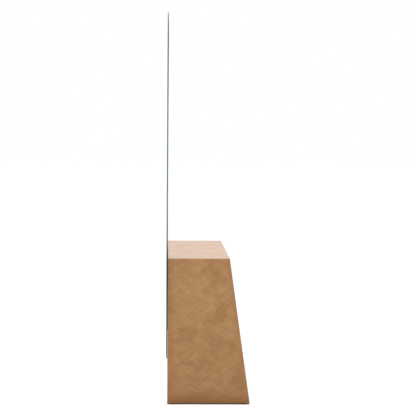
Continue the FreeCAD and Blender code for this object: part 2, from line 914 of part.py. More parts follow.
def mirror_bush(label, x, z):
    """A nylon bush that keeps the screw off the glass."""
    seat = (x, glass_back, z)
    blank = sunk_rod(label + "_blank", seat, TOWARDS_FRONT, bush_radius, bush_head, cell.glass)
    bore = sunk_hole(label + "_hole", seat, TOWARDS_FRONT, cell.screw_radius + cell.fit,
                     cell.head_radius + cell.fit, cell.glass + OVERRUN)
    return drilled(label, blank, [bore])


def mirror_insert(label, x, start, z):
    """A threaded brass insert, let into the core or the rail."""
    blank = rod(label + "_blank", (x, start, z), TOWARDS_FRONT, cell.insert_radius, cell.insert_length)
    bore = hole(label + "_bore", (x, start, z), TOWARDS_FRONT, cell.screw_radius + cell.fit,
                cell.insert_length + OVERRUN)
    return drilled(label, blank, [bore])


mirror_glass()
mirror_film()
mirror_cushions()
node(group("mirror_screws", [mirror_screw(f"mirror_screw_{i}", x, z) for i, (x, z) in enumerate(fixings)]))
node(group("mirror_bushes", [mirror_bush(f"mirror_bush_{i}", x, z) for i, (x, z) in enumerate(fixings)]))
insert_starts = [back - cell.brass] * 4 + [back] * 2
node(group("mirror_inserts", [
    mirror_insert(f"mirror_insert_{i}", x, start, z)
    for i, ((x, z), start) in enumerate(zip(fixings, insert_starts))
]))

# ---------------------------------------------------------------- drawers


def front_outline(sheet_in, behind):
    """The wedge of a drawer front: sloping in front, upright behind."""
    low = front_bottom + cell.brass * sheet_in
    high = front_top - cell.brass * sheet_in
    shift = lean_sheet * sheet_in
    return [
        (front_at(low) + shift, low),
        (front_rear + behind, low),
        (front_rear + behind, high),
        (front_at(high) + shift, high),
    ]


def front_skin(name):
    """The folded brass tray over a drawer front: face and four returned edges."""
    side = SIDES[name]
    inner, outer = cell.reveal / 2, inner_wall - cell.reveal
    body = start_body(f"{name}_drawer_front_skin")
    face = sketch_on(body, "YZ_Plane", low_x(side, inner, outer))
    draw_outline(face, front_outline(0, ZERO))
    pad(body, face, outer - inner)
    hollow = sketch_on(body, "YZ_Plane", low_x(side, inner + cell.brass, outer - cell.brass))
    draw_outline(hollow, front_outline(1, cell.brass))
    pocket(body, hollow, outer - inner - 2 * cell.brass)
    edge_low, edge_high = low_x(side, inner, outer), low_x(side, inner, outer) + (outer - inner)

    def folded(middle, edge):
        """The four outer edges of the sloping face."""
        height = Size(round(middle.z, 6))
        on_slope = abs(middle.y - front_at(height).number()) < 0.01
        on_rim = near(middle.x, edge_low) or near(middle.x, edge_high)
        return on_slope and (on_rim or near(middle.z, front_bottom) or near(middle.z, front_top))

    round_edges(body, cell.fold_radius, folded)
    return node(body)


def front_screw_seats(name):
    """The four screws that hold a drawer front, on the inner face of the box's front board."""
    low, high = box_sides(name)
    inside = front_rear + cell.box_wall
    lower = lining_low + cell.lining + cell.front_screw_above_lining + cell.pan_head_radius
    upper = box_high - cell.front_screw_below_rim
    return [
        ((x, inside, z), TOWARDS_FRONT)
        for x in (low + cell.front_screw_inset, high - cell.front_screw_inset)
        for z in (lower, upper)
    ]


def front_core(name):
    """The wooden wedge inside a drawer front."""
    side = SIDES[name]
    inner, outer = cell.reveal / 2 + cell.brass, inner_wall - cell.reveal - cell.brass
    body = start_body(f"{name}_drawer_front_core_blank")
    wedge = sketch_on(body, "YZ_Plane", low_x(side, inner, outer))
    draw_outline(wedge, front_outline(1, ZERO))
    pad(body, wedge, outer - inner)
    depth = cell.front_screw_length - cell.box_wall + cell.fit
    drills = [
        hole(f"{name}_front_core_drill_{i}", (x, front_rear, z), way,
             cell.small_screw_radius + cell.fit, depth)
        for i, ((x, y, z), way) in enumerate(front_screw_seats(name))
    ]
    return node(drilled(f"{name}_drawer_front_core", body, drills))


def box_sides(name):
    """X of the drawer box's outer faces, lower one first."""
    side = SIDES[name]
    inner, outer = cell.divider / 2 + cell.runner_space, inner_wall - cell.runner_space
    low = low_x(side, inner, outer)
    return low, low + (outer - inner)


def drawer_box(name):
    """Four boards round a thin bottom that sits in grooves."""
    low, high = box_sides(name)
    wall = cell.box_wall
    sink = cell.groove_depth
    cutter = block(f"{name}_groove_cutter", (low + wall - sink, front_rear + wall - sink, groove_low),
                   (high - wall + sink, box_rear - wall + sink, lining_low))
    boards = {
        "left_side": ((low, front_rear, box_low), (low + wall, box_rear, box_high)),
        "right_side": ((high - wall, front_rear, box_low), (high, box_rear, box_high)),
        "box_front": ((low + wall, front_rear, box_low), (high - wall, front_rear + wall, box_high)),
        "box_back": ((low + wall, box_rear - wall, box_low), (high - wall, box_rear, box_high)),
    }
    slide_drills = {
        "left_side": screw_holes(f"{name}_left_slide", slide_seats(low, 1), slide_screw_depth),
        "right_side": screw_holes(f"{name}_right_slide", slide_seats(high, -1), slide_screw_depth),
        "box_front": screw_holes(f"{name}_front_seat", front_screw_seats(name), cell.box_wall + 1),
        "box_back": [],
    }
    for board, (near_corner, far_corner) in boards.items():
        blank = block(f"{name}_{board}_blank", near_corner, far_corner)
        node(drilled(f"{name}_drawer_{board}", blank, [cutter] + slide_drills[board]))
    bottom_low = (low + wall - sink + cell.fit, front_rear + wall - sink + cell.fit, groove_low)
    bottom_high = (high - wall + sink - cell.fit, box_rear - wall + sink - cell.fit,
                   groove_low + cell.box_bottom)
    node(block(f"{name}_drawer_bottom", bottom_low, bottom_high))
    gap = cell.lining_gap
    node(block(f"{name}_drawer_lining", (low + wall + gap, front_rear + wall + gap, lining_low),
               (high - wall - gap, box_rear - wall - gap, lining_low + cell.lining)))


slide_screw_depth = cell.small_screw_length - cell.runner_sheet + cell.fit


def slide_seats(face_x, turn):
    """Where the screws of a drawer's own runner member enter the box side."""
    return [((face_x, y, runner_middle), across(turn)) for y in runner_screw_places]


def front_screws(name):
    """The screws that hold the drawer front, with their heads inside the box."""
    return node(group(f"{name}_drawer_front_screws", [
        pan_screw(f"{name}_front_screw_{i}", seat, way, cell.small_screw_radius,
                  cell.front_screw_length, cell.pan_head_radius, cell.pan_head_height)
        for i, (seat, way) in enumerate(front_screw_seats(name))
    ]))


for drawer_name in SIDES:
    front_skin(drawer_name)
    front_core(drawer_name)
    drawer_box(drawer_name)
    front_screws(drawer_name)

# ---------------------------------------------------------------- runners

race = 2 * cell.ball_radius + 2 * cell.runner_play
outer_half = cell.runner_half_height
middle_half = outer_half - cell.runner_sheet - race
inner_half = middle_half - cell.runner_sheet - race
outer_row = outer_half - cell.runner_sheet - race / 2
inner_row = middle_half - cell.runner_sheet - race / 2


def channel(label, wall_x, turn, web, lip_end, half):
    """A rolled channel along the runner. web and lip_end count from the wall, and half is half its height."""
    toward_lip = 1 if lip_end.number() > web.number() else -1
    inside = web + toward_lip * cell.runner_sheet
    steps = [
        (web, -half), (web, half), (lip_end, half), (lip_end, half - cell.runner_sheet),
        (inside, half - cell.runner_sheet), (inside, cell.runner_sheet - half),
        (lip_end, cell.runner_sheet - half), (lip_end, -half),
    ]
    body = start_body(label)
    sketch = sketch_on(body, "XZ_Plane", -runner_rear)
    draw_outline(sketch, [(wall_x + turn * out, runner_middle + rise) for out, rise in steps])
    pad(body, sketch, runner_length)
    return body


def web_drills(label, wall_x, turn, web, places):
    """Holes through a member's web for its two screws."""
    start = wall_x + turn * (web - 1)
    return [
        rod(f"{label}_{i}", (start, y, runner_middle), across(turn), cell.small_screw_radius + cell.fit,
            cell.runner_sheet + 2)
        for i, y in enumerate(places)
    ]


def flat_screw(label, seat, direction):
    """A screw with a thin flat head that the next runner member passes over."""
    return pan_screw(label, seat, direction, cell.small_screw_radius, cell.small_screw_length,
                     cell.flat_head_radius, cell.flat_head_height)


def ball_row(label, wall_x, turn, out, height):
    """One row of balls in their cage strip, half way along the runner."""
    x = wall_x + turn * out
    middle = (runner_front + runner_rear) / 2
    half_row = cell.ball_pitch * (BALLS_IN_A_ROW / 2)
    half_width_of_cage, half_sheet = cell.cage_width / 2, cell.cage_sheet / 2
    strip = block(f"{label}_strip", (x - half_width_of_cage, middle - half_row, height - half_sheet),
                  (x + half_width_of_cage, middle + half_row, height + half_sheet))
    places = [middle - half_row + cell.ball_pitch * (i + 0.5) for i in range(BALLS_IN_A_ROW)]
    holes = [
        rod(f"{label}_hole_{i}", (x, y, height - cell.cage_sheet), UP, cell.ball_radius + cell.fit / 2,
            cell.cage_sheet * 2)
        for i, y in enumerate(places)
    ]
    balls = []
    for i, y in enumerate(places):
        ball = doc.addObject("Part::Sphere", f"{label}_ball_{i}")
        ball.setExpression("Radius", str(cell.ball_radius))
        balls.append(place(ball, (x, y, height)))
    return [drilled(f"{label}_cage", strip, holes)] + balls


def runner(tag, wall_x, turn, places):
    """One telescopic runner: its pieces in a dictionary, by the node that each kind belongs to."""
    middle_web = cell.runner_sheet + cell.middle_gap
    slide_face = cell.runner_space - cell.runner_sheet
    slide_lip = cell.runner_space - cell.inner_lip
    outer_out = (middle_web + cell.outer_lip) / 2
    inner_out = (slide_lip + cell.middle_lip) / 2
    rail = channel(f"{tag}_rail_channel", wall_x, turn, ZERO, cell.outer_lip, outer_half)
    middle = channel(f"{tag}_middle", wall_x, turn, middle_web, cell.middle_lip, middle_half)
    slide = channel(f"{tag}_slide_channel", wall_x, turn, cell.runner_space, slide_lip, inner_half)
    rail_drills = web_drills(f"{tag}_rail_drill", wall_x, turn, ZERO, places)
    slide_drills = web_drills(f"{tag}_slide_drill", wall_x, turn, slide_face, runner_screw_places)
    rail_seats = [(wall_x + turn * cell.runner_sheet, y, runner_middle) for y in places]
    slide_seats = [(wall_x + turn * slide_face, y, runner_middle) for y in runner_screw_places]
    outer_balls, inner_balls = [], []
    for row_name, up in (("upper", 1), ("lower", -1)):
        outer_height = runner_middle + up * outer_row
        inner_height = runner_middle + up * inner_row
        outer_balls += ball_row(f"{tag}_{row_name}_outer", wall_x, turn, outer_out, outer_height)
        inner_balls += ball_row(f"{tag}_{row_name}_inner", wall_x, turn, inner_out, inner_height)
    return {
        "runner_rails": [drilled(f"{tag}_rail", rail, rail_drills)],
        "runner_middles": [middle],
        "runner_slides": [drilled(f"{tag}_slide", slide, slide_drills)],
        "rail_screws": [flat_screw(f"{tag}_rail_screw_{i}", seat, across(-turn))
                        for i, seat in enumerate(rail_seats)],
        "slide_screws": [flat_screw(f"{tag}_slide_screw_{i}", seat, across(turn))
                         for i, seat in enumerate(slide_seats)],
        "outer_ball_cages": outer_balls,
        "inner_ball_cages": inner_balls,
    }


for drawer_name in SIDES:
    both = [runner(f"{drawer_name}_{i}", *wall) for i, wall in enumerate(runner_walls(drawer_name))]
    for kind in both[0]:
        node(group(f"{drawer_name}_{kind}", [piece for pieces in both for piece in pieces[kind]]))

# ---------------------------------------------------------------- check and write

doc.recompute()
for made in doc.Objects:
    if "Invalid" in made.State or "Error" in made.State:
        raise RuntimeError(f"{made.Label} failed to build: {made.State}")
for made in nodes:
    if made.Shape.isNull() or not made.Shape.isValid():
        raise RuntimeError(f"{made.Label} has no valid shape")

os.makedirs("parts", exist_ok=True)
for made in nodes:
    made.Shape.exportStep(os.path.join("parts", made.Label + ".step"))
print(len(nodes), "nodes; runner length", round(runner_length.number(), 1), "mm")
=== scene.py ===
import bmesh
import bpy
import math
from mathutils import Matrix, Vector


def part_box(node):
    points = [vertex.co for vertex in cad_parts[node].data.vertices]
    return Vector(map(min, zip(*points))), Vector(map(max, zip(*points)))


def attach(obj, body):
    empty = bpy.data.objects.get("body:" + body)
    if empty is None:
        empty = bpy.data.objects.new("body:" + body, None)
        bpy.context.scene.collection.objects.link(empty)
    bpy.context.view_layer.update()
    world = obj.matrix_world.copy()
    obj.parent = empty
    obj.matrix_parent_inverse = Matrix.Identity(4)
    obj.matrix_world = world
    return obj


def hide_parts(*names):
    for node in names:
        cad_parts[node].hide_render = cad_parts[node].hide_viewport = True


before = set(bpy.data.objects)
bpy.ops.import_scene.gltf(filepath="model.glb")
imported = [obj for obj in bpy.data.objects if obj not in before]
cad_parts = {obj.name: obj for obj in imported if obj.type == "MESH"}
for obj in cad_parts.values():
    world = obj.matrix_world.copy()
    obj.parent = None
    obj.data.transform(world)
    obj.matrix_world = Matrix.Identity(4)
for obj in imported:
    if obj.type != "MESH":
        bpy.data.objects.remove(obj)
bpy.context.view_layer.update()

# ---------------------------------------------------------------- studio
# A white room with the camera off the table's left end, almost in the plane of the glass. The sky is
# white beside and behind the table, and grey in front of it for the mirror to show. The camera itself
# sees the sky as plain white, and the floor as nearly so.

EYE_DISTANCE = 7.644
EYE_HEIGHT = 1.3626
EYE_BEFORE_GLASS = 0.0009
SENSOR_WIDTH = 36
LENS = 121.7

glass_low, glass_high = (Vector(corner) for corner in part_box("mirror_glass"))
glass_middle = (glass_low + glass_high) / 2

camera = bpy.data.objects.new("camera", bpy.data.cameras.new("camera"))
camera.location = (-EYE_DISTANCE, glass_middle.y - EYE_BEFORE_GLASS, EYE_HEIGHT)
camera.data.sensor_width = SENSOR_WIDTH
camera.data.lens = LENS
yaw, pitch, roll = (math.radians(turn) for turn in (-91.649, 87.014, 0.394))
camera.rotation_euler = (Matrix.Rotation(yaw, 3, "Z") @ Matrix.Rotation(pitch, 3, "X")
                         @ Matrix.Rotation(roll, 3, "Z")).to_euler()
bpy.context.scene.collection.objects.link(camera)
bpy.context.scene.camera = camera
bpy.context.scene.view_settings.view_transform = "Standard"


def add(tree, kind, sockets=(), **settings):
    """A new node with its settings, and with each named input set to a value or linked to an output."""
    made = tree.nodes.new(kind)
    for name, value in settings.items():
        setattr(made, name, value)
    for name, value in dict(sockets).items():
        if isinstance(value, bpy.types.NodeSocket):
            tree.links.new(value, made.inputs[name])
        else:
            made.inputs[name].default_value = value
    return made


def maths(tree, operation, first, second=0.0, clamp=False):
    """One step of arithmetic on two outputs or numbers."""
    made = add(tree, "ShaderNodeMath", {0: first, 1: second}, operation=operation, use_clamp=clamp)
    return made.outputs[0]


def mapped(tree, value, low, high, to_low=0.0, to_high=1.0):
    """The value taken smoothly from the range low to high onto another range, and held at its ends."""
    sockets = {"Value": value, "From Min": low, "From Max": high, "To Min": to_low, "To Max": to_high}
    return add(tree, "ShaderNodeMapRange", sockets, interpolation_type="SMOOTHSTEP").outputs["Result"]


# A Mix node has a pair of inputs and an output for each kind of value, told apart by their places.
FACTOR = 0
COLOUR_A, COLOUR_B, COLOUR_OUT = 6, 7, 2
VECTOR_A, VECTOR_B, VECTOR_OUT = 4, 5, 1


def mixed(tree, factor, first, second, blend="MIX"):
    """A colour between two colours, or the first one multiplied by the second."""
    sockets = {FACTOR: factor, COLOUR_A: first, COLOUR_B: second}
    return add(tree, "ShaderNodeMix", sockets, data_type="RGBA", blend_type=blend).outputs[COLOUR_OUT]


PLAIN_WHITE = (1, 1, 1, 1)
SKY_BESIDE = (1.24, 1.24, 1.24, 1)
SKY_BEYOND = (1.34, 1.34, 1.34, 1)
SKY_AHEAD = (0.72, 0.72, 0.72, 1)
SKY_OVERHEAD = (0.30, 0.31, 0.32, 1)


def studio_sky():
    """White all round and grey ahead, but plain white where the camera sees it directly."""
    world = bpy.data.worlds.new("studio")
    world.use_nodes = True
    tree = world.node_tree
    background = tree.nodes["Background"]
    direction = add(tree, "ShaderNodeTexCoord").outputs["Generated"]
    axes = add(tree, "ShaderNodeSeparateXYZ", {"Vector": direction}).outputs
    towards_front = mapped(tree, axes["Y"], 0.15, -0.75)
    upwards = mapped(tree, axes["Z"], 0.0, 0.7)
    grey = mixed(tree, upwards, SKY_AHEAD, SKY_OVERHEAD)
    beyond = mapped(tree, axes["X"], 0.1, 0.9)
    white = mixed(tree, beyond, SKY_BESIDE, SKY_BEYOND)
    surroundings = mixed(tree, towards_front, white, grey)
    seen_directly = add(tree, "ShaderNodeLightPath").outputs["Is Camera Ray"]
    tree.links.new(mixed(tree, seen_directly, surroundings, PLAIN_WHITE), background.inputs["Color"])
    bpy.context.scene.world = world


def soft_light(name, place, target, size, watts):
    """A square lamp that faces a point."""
    data = bpy.data.lights.new(name, "AREA")
    data.size = size
    data.energy = watts
    lamp = bpy.data.objects.new(name, data)
    lamp.location = place
    lamp.rotation_euler = (Vector(target) - Vector(place)).to_track_quat("-Z", "Y").to_euler()
    bpy.context.scene.collection.objects.link(lamp)


def new_material(name):
    """A material, its node tree and its Principled shader."""
    material = bpy.data.materials.new(name)
    material.use_nodes = True
    tree = material.node_tree
    return material, tree, tree.nodes["Principled BSDF"]


FLOOR_GREY = (0.60, 0.60, 0.60, 1)
FLOOR_SIZE = 60
GLOW_SHARE = 0.7
GLOW_STRENGTH = 1.22
CREVICE = 0.012


def pale_floor():
    """A wide floor that the camera sees glowing, except in crevices such as the gap over the glides."""
    shape = bmesh.new()
    bmesh.ops.create_grid(shape, x_segments=1, y_segments=1, size=FLOOR_SIZE)
    mesh = bpy.data.meshes.new("floor")
    shape.to_mesh(mesh)
    shape.free()
    floor = bpy.data.objects.new("floor", mesh)
    bpy.context.scene.collection.objects.link(floor)
    material, tree, shader = new_material("pale_floor")
    shader.inputs["Base Color"].default_value = FLOOR_GREY
    shader.inputs["Roughness"].default_value = 0.9
    shader.inputs["Specular IOR Level"].default_value = 0.1
    glow = add(tree, "ShaderNodeEmission", {"Color": PLAIN_WHITE, "Strength": GLOW_STRENGTH})
    seen_directly = add(tree, "ShaderNodeLightPath").outputs["Is Camera Ray"]
    open_floor = add(tree, "ShaderNodeAmbientOcclusion", {"Distance": CREVICE}, samples=8).outputs["AO"]
    share = maths(tree, "MULTIPLY", maths(tree, "MULTIPLY", seen_directly, open_floor), GLOW_SHARE)
    lit = add(tree, "ShaderNodeMixShader", {
        FACTOR: share, 1: shader.outputs["BSDF"], 2: glow.outputs["Emission"]})
    tree.links.new(lit.outputs["Shader"], tree.nodes["Material Output"].inputs["Surface"])
    mesh.materials.append(material)


studio_sky()
pale_floor()
soft_light("overhead", (-1.5, -1.5, 5.0), (0, 0, 0.5), 4.0, 220)
soft_light("front_fill", (2.5, -4.5, 2.6), (0, 0, 0.7), 3.0, 70)

# ---------------------------------------------------------------- brass cladding
# Sheet brass 1.5 mm thick, folded over the ends, the top and the drawer fronts and glued to them. Each
# face is brushed by hand in short crossing strokes, patinated and lacquered. Near the folds it is darker
# with patina and painted shade; towards the floor it has painted shade, and a painted contact shadow
# runs along its bottom edge.


def dress(names, material):
    """Gives CAD nodes a material."""
    for name in names:
        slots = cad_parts[name].data.materials
        slots.clear()
        slots.append(material)


def new_group(name, inputs, outputs):
    """An empty shader node group. An input is (name, kind, default or None), an output (name, kind)."""
    group = bpy.data.node_groups.new(name, "ShaderNodeTree")
    for label, kind, default in inputs:
        made = group.interface.new_socket(label, in_out="INPUT", socket_type=kind)
        if default is not None:
            made.default_value = default
    for label, kind in outputs:
        group.interface.new_socket(label, in_out="OUTPUT", socket_type=kind)
    return group, group.nodes.new("NodeGroupInput").outputs, group.nodes.new("NodeGroupOutput").inputs


def scaled(tree, vector, sizes):
    """The vector divided by a size each way, so that a texture of scale 1 has features of that size."""
    factors = tuple(1 / size for size in sizes)
    return add(tree, "ShaderNodeVectorMath", {0: vector, 1: factors}, operation="MULTIPLY").outputs[0]


def noise(tree, vector, detail=2.0, roughness=0.5):
    """A noise from 0 to 1 with features of about 1 on the vector."""
    sockets = {"Vector": vector, "Scale": 1.0, "Detail": detail, "Roughness": roughness}
    return add(tree, "ShaderNodeTexNoise", sockets).outputs["Fac"]


def mottle(tree, place, size, detail=2.0, roughness=0.5):
    """A noise whose features are as large one way as another."""
    return noise(tree, scaled(tree, place, (size, size, size)), detail, roughness)


def surface(tree, shader, colour, roughness, relief=None, depth=0.0, strength=0.0):
    """Gives the shader its colour and roughness, and a relief that is so many metres deep."""
    tree.links.new(colour, shader.inputs["Base Color"])
    tree.links.new(roughness, shader.inputs["Roughness"])
    if relief is not None:
        bump = add(tree, "ShaderNodeBump", {"Strength": strength, "Distance": depth, "Height": relief})
        tree.links.new(bump.outputs["Normal"], shader.inputs["Normal"])


def face_plane(tree, place, facing):
    """Flat coordinates on whichever way a face looks: its own two directions, in metres."""
    at = add(tree, "ShaderNodeSeparateXYZ", {0: place}).outputs
    faces = add(tree, "ShaderNodeSeparateXYZ", {0: facing}).outputs
    sideways = maths(tree, "GREATER_THAN", maths(tree, "ABSOLUTE", faces["X"]), 0.6)
    upwards = maths(tree, "GREATER_THAN", maths(tree, "ABSOLUTE", faces["Z"]), 0.6)
    on_front = add(tree, "ShaderNodeCombineXYZ", {"X": at["X"], "Y": at["Z"]}).outputs[0]
    on_top = add(tree, "ShaderNodeCombineXYZ", {"X": at["X"], "Y": at["Y"], "Z": 3.0}).outputs[0]
    on_end = add(tree, "ShaderNodeCombineXYZ", {"X": at["Y"], "Y": at["Z"], "Z": 7.0}).outputs[0]
    chosen = on_front
    for share, other in ((upwards, on_top), (sideways, on_end)):
        sockets = {FACTOR: share, VECTOR_A: chosen, VECTOR_B: other}
        chosen = add(tree, "ShaderNodeMix", sockets, data_type="VECTOR").outputs[VECTOR_OUT]
    return chosen


def wandering(tree, vector, reach, amount):
    """The vector pushed about a little, so that straight lines on it wander as a hand does."""
    pattern = add(tree, "ShaderNodeTexNoise", {
        "Vector": scaled(tree, vector, (reach, reach, 1)), "Scale": 1.0, "Detail": 1.0}).outputs["Color"]
    steps = (("SUBTRACT", (0.5, 0.5, 0.5)), ("MULTIPLY", (amount, amount, 0)), ("ADD", vector))
    for operation, other in steps:
        pattern = add(tree, "ShaderNodeVectorMath", {0: pattern, 1: other}, operation=operation).outputs[0]
    return pattern


STROKE_ANGLES = (-28, 40)
STROKE_LENGTH = 0.15
STROKE_WIDTH = 0.013


def brushing_group():
    """Two sets of strokes that cross: broad soft ones, fine scratches inside them, and a few dark marks."""
    group, ins, outs = new_group(
        "crossed_brushing",
        [("Object", "NodeSocketVector", None), ("Normal", "NodeSocketVector", None),
         ("Stroke Length", "NodeSocketFloat", STROKE_LENGTH),
         ("Stroke Width", "NodeSocketFloat", STROKE_WIDTH)],
        [("Broad", "NodeSocketFloat"), ("Fine", "NodeSocketFloat"), ("Mark", "NodeSocketFloat")])
    plane = wandering(group, face_plane(group, ins["Object"], ins["Normal"]), reach=0.3, amount=0.06)
    broad, fine, marks = [], [], []
    for angle in STROKE_ANGLES:
        turned = add(group, "ShaderNodeVectorRotate", {"Vector": plane, "Angle": math.radians(angle)},
                     rotation_type="Z_AXIS").outputs[0]
        along = add(group, "ShaderNodeSeparateXYZ", {0: turned}).outputs
        long_way = maths(group, "DIVIDE", along["X"], ins["Stroke Length"])
        wide_way = maths(group, "DIVIDE", along["Y"], ins["Stroke Width"])
        layer = maths(group, "ADD", along["Z"], angle)
        for results, shorter, finer in ((broad, 1, 1), (fine, 2, 9), (marks, 1.2, 1.9)):
            stroke = add(group, "ShaderNodeCombineXYZ", {
                "X": maths(group, "MULTIPLY", long_way, shorter),
                "Y": maths(group, "MULTIPLY", wide_way, finer), "Z": layer}).outputs[0]
            results.append(noise(group, stroke, detail=2.0))
    for label, pair in (("Broad", broad), ("Fine", fine)):
        both = maths(group, "MULTIPLY", maths(group, "ADD", *pair), 0.5)
        group.links.new(mapped(group, both, 0.36, 0.64), outs[label])
    group.links.new(mapped(group, maths(group, "MAXIMUM", *marks), 0.55, 0.72), outs["Mark"])
    return group


def folded_edges_group(front_low, front_high):
    """1 along the folds of a cladding and 0 a few millimetres away. Its front leans as the carcass does."""
    group, ins, outs = new_group(
        "folded_edges",
        [("Object", "NodeSocketVector", None), ("Reach", "NodeSocketFloat", 0.006),
         ("Inner", "NodeSocketFloat", -1.0), ("Outer", "NodeSocketFloat", 1.0),
         ("Bottom", "NodeSocketFloat", -1.0), ("Top", "NodeSocketFloat", 1.0),
         ("Back", "NodeSocketFloat", 1.0)],
        [("Edge", "NodeSocketFloat")])
    at = add(group, "ShaderNodeSeparateXYZ", {0: ins["Object"]}).outputs
    slope = (front_high[0] - front_low[0]) / (front_high[1] - front_low[1])
    front_at_floor = front_low[0] - slope * front_low[1]
    front = maths(group, "ADD", maths(group, "MULTIPLY", at["Z"], slope), front_at_floor)
    aside = maths(group, "ABSOLUTE", at["X"])
    distances = (
        maths(group, "SUBTRACT", at["Y"], front), maths(group, "SUBTRACT", ins["Back"], at["Y"]),
        maths(group, "SUBTRACT", at["Z"], ins["Bottom"]), maths(group, "SUBTRACT", ins["Top"], at["Z"]),
        maths(group, "SUBTRACT", aside, ins["Inner"]), maths(group, "SUBTRACT", ins["Outer"], aside))
    total = -1.0
    for distance in distances:
        share = maths(group, "DIVIDE", distance, ins["Reach"])
        near = maths(group, "SUBTRACT", 1.0, share, clamp=True)
        total = maths(group, "ADD", near, total)
    group.links.new(maths(group, "MAXIMUM", total, 0.0), outs["Edge"])
    return group


skin_low, skin_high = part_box("left_end_skin")
top_low, top_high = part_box("top_skin")
drawer_low, drawer_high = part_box("right_drawer_front_skin")
brushing = brushing_group()
folded_edges = folded_edges_group((skin_low.y, skin_low.z), (top_low.y, top_low.z))

PATINA_AND_SHADE_REACH = 0.034
CLOUD_SIZE = 0.09
PATCH_SIZE = 0.034
BRASS_DEEP = (0.452, 0.245, 0.110, 1)
BRASS_CLEAR = (0.517, 0.290, 0.136, 1)
BRASS_SCRATCH = (0.538, 0.311, 0.156, 1)
BRASS_PATCH = (0.566, 0.325, 0.157, 1)
BRASS_MARK = (0.370, 0.193, 0.082, 1)
BRASS_CLOUD = (0.374, 0.194, 0.082, 1)
BRASS_PATINA_AND_SHADE = (0.325, 0.168, 0.072, 1)
BRASS_WORN = (0.538, 0.325, 0.168, 1)
PAINTED_FOOT_SHADE = (0.230, 0.111, 0.046, 1)
PAINTED_CONTACT_SHADOW = (0.10, 0.042, 0.014, 1)
PAINTED_FLOOR_SHADE = (0.79, 0.77, 0.755, 1)


def brass_cladding(name, **folds):
    """Brushed brass whose folds lie on the given planes."""
    material, tree, shader = new_material(name)
    place = add(tree, "ShaderNodeTexCoord").outputs
    looking = {"Object": place["Object"], "Normal": place["Normal"]}
    strokes = add(tree, "ShaderNodeGroup", looking, node_tree=brushing).outputs
    broad, fine, mark = (strokes[label] for label in ("Broad", "Fine", "Mark"))
    near = {"Object": place["Object"], **folds}
    edge = add(tree, "ShaderNodeGroup", near, node_tree=folded_edges).outputs["Edge"]
    near.update({"Top": folds["Top"] + 1, "Reach": PATINA_AND_SHADE_REACH})
    patina_and_shade = add(tree, "ShaderNodeGroup", near, node_tree=folded_edges).outputs["Edge"]
    height = add(tree, "ShaderNodeSeparateXYZ", {0: place["Object"]}).outputs["Z"]
    cloud = mottle(tree, place["Object"], CLOUD_SIZE, detail=3.0)
    patch = mottle(tree, place["Object"], PATCH_SIZE)

    colour = mixed(tree, broad, BRASS_DEEP, BRASS_CLEAR)
    colour = mixed(tree, maths(tree, "MULTIPLY", fine, 0.22), colour, BRASS_SCRATCH)
    colour = mixed(tree, mapped(tree, patch, 0.46, 0.70, 0.0, 0.55), colour, BRASS_PATCH)
    colour = mixed(tree, maths(tree, "MULTIPLY", mark, 0.60), colour, BRASS_MARK)
    colour = mixed(tree, mapped(tree, cloud, 0.44, 0.72, 0.0, 0.65), colour, BRASS_CLOUD)
    # Painted shade: the brass darkens smoothly from 70 cm down to the floor.
    colour = mixed(tree, mapped(tree, height, 0.70, 0.05), colour, PAINTED_FLOOR_SHADE, blend="MULTIPLY")
    # Painted shade: a ragged band up to about 7 cm above the floor is darkened, and the same mask makes it
    # rougher as scuffed brass.
    ragged = maths(tree, "ADD", height, maths(tree, "MULTIPLY", maths(tree, "SUBTRACT", cloud, 0.5), 0.12))
    scuffed = mapped(tree, ragged, 0.072, 0.008)
    colour = mixed(tree, maths(tree, "MULTIPLY", scuffed, 0.65), colour, PAINTED_FOOT_SHADE)
    # Painted contact shadow: the lowest centimetre of the brass turns almost black.
    colour = mixed(tree, mapped(tree, height, 0.011, 0.006, 0.0, 0.7), colour, PAINTED_CONTACT_SHADOW)
    # Patina with painted shade: darker within a few centimetres of every fold.
    colour = mixed(tree, maths(tree, "MULTIPLY", patina_and_shade, 0.38), colour, BRASS_PATINA_AND_SHADE)
    colour = mixed(tree, maths(tree, "MULTIPLY", edge, 0.35), colour, BRASS_WORN)

    rough = mapped(tree, fine, 0.0, 1.0, 0.34, 0.27)
    rough = maths(tree, "ADD", rough, mapped(tree, broad, 0.0, 1.0, 0.05, 0.0))
    rough = maths(tree, "ADD", rough, maths(tree, "MULTIPLY", scuffed, 0.12))
    relief = maths(tree, "ADD", maths(tree, "MULTIPLY", fine, 0.3), broad)
    surface(tree, shader, colour, rough, relief, depth=0.0005, strength=0.13)
    shader.inputs["Metallic"].default_value = 1.0
    return material


carcass_brass = brass_cladding("brass_cladding", Outer=-skin_low.x, Top=top_high.z, Back=skin_high.y)
front_brass = brass_cladding("drawer_front_brass", Inner=drawer_low.x, Outer=drawer_high.x,
                             Bottom=drawer_low.z, Top=drawer_high.z)
dress(("left_end_skin", "left_end_inner_skin", "right_end_skin", "right_end_inner_skin", "top_skin",
       "underside_skin"), carcass_brass)
dress(("left_drawer_front_skin", "right_drawer_front_skin"), front_brass)

# ---------------------------------------------------------------- cores, rail, floor and divider
# Blockboard inside the brass, with the grain along each board. It shows only in the drawer openings,
# and fluted beech dowels join the boards.

RING_RATE = 420
RING_DRIFT = 34


